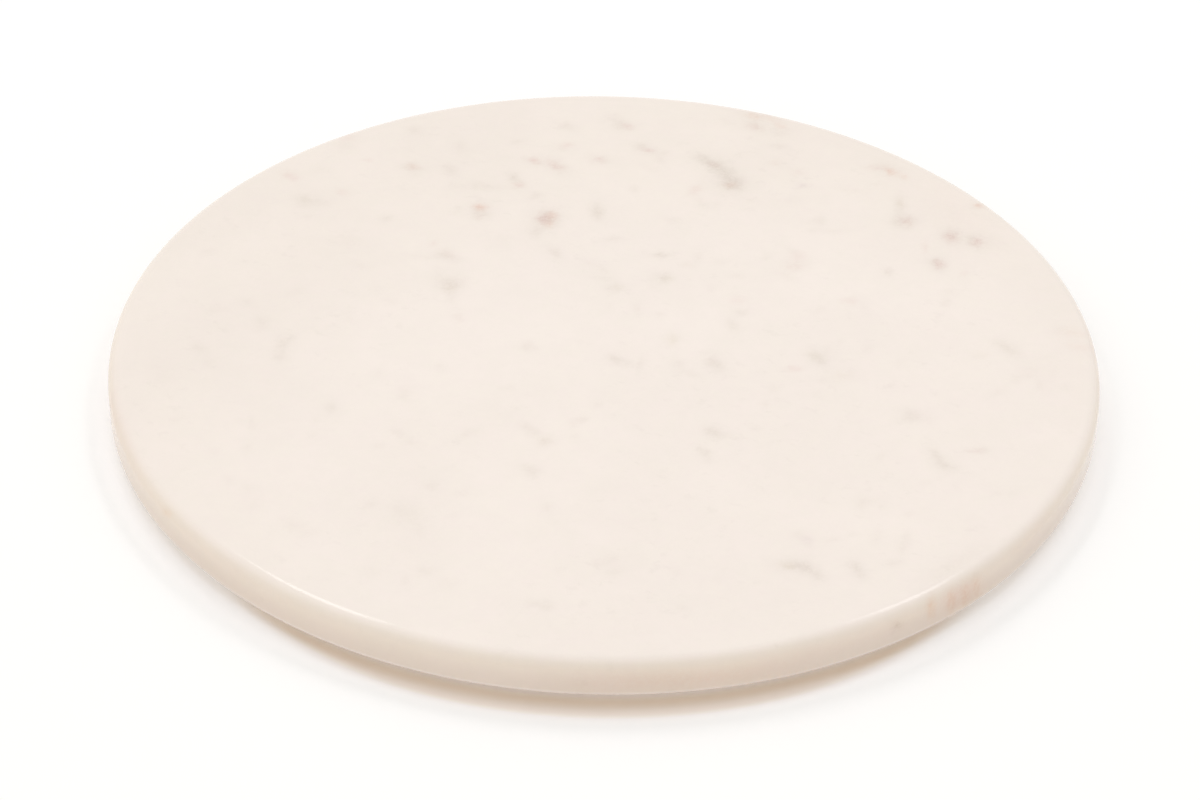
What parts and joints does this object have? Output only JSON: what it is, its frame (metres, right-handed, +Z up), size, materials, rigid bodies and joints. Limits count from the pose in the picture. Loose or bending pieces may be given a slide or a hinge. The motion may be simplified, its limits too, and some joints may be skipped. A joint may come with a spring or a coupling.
{
  "type": "chakla rolling board",
  "caption": "Round polished marble slab with a soft rounded rim, raised on small rubber feet, for rolling out dough and flatbreads.",
  "frame": {"origin": "middle of the board's footprint, on the table that its four feet stand on", "axes": "+Z up through the middle of the slab, -Y to the front and +X to the right as the picture sees it"},
  "size_m": [0.305, 0.305, 0.0168],
  "materials": {
    "marble": "polished cream-white marble with fine grain, faint clouds and small grey and brown flecks",
    "foot_rubber": "matt moulded rubber",
    "adhesive_foam": "white closed-cell foam adhesive"
  },
  "bodies": {
    "root": {"marble_slab": "marble", "foot_front_left": "foot_rubber", "foot_front_right": "foot_rubber", "foot_back_right": "foot_rubber", "foot_back_left": "foot_rubber", "adhesive_front_left": "adhesive_foam", "adhesive_front_right": "adhesive_foam", "adhesive_back_right": "adhesive_foam", "adhesive_back_left": "adhesive_foam"}
  },
  "joints": []
}
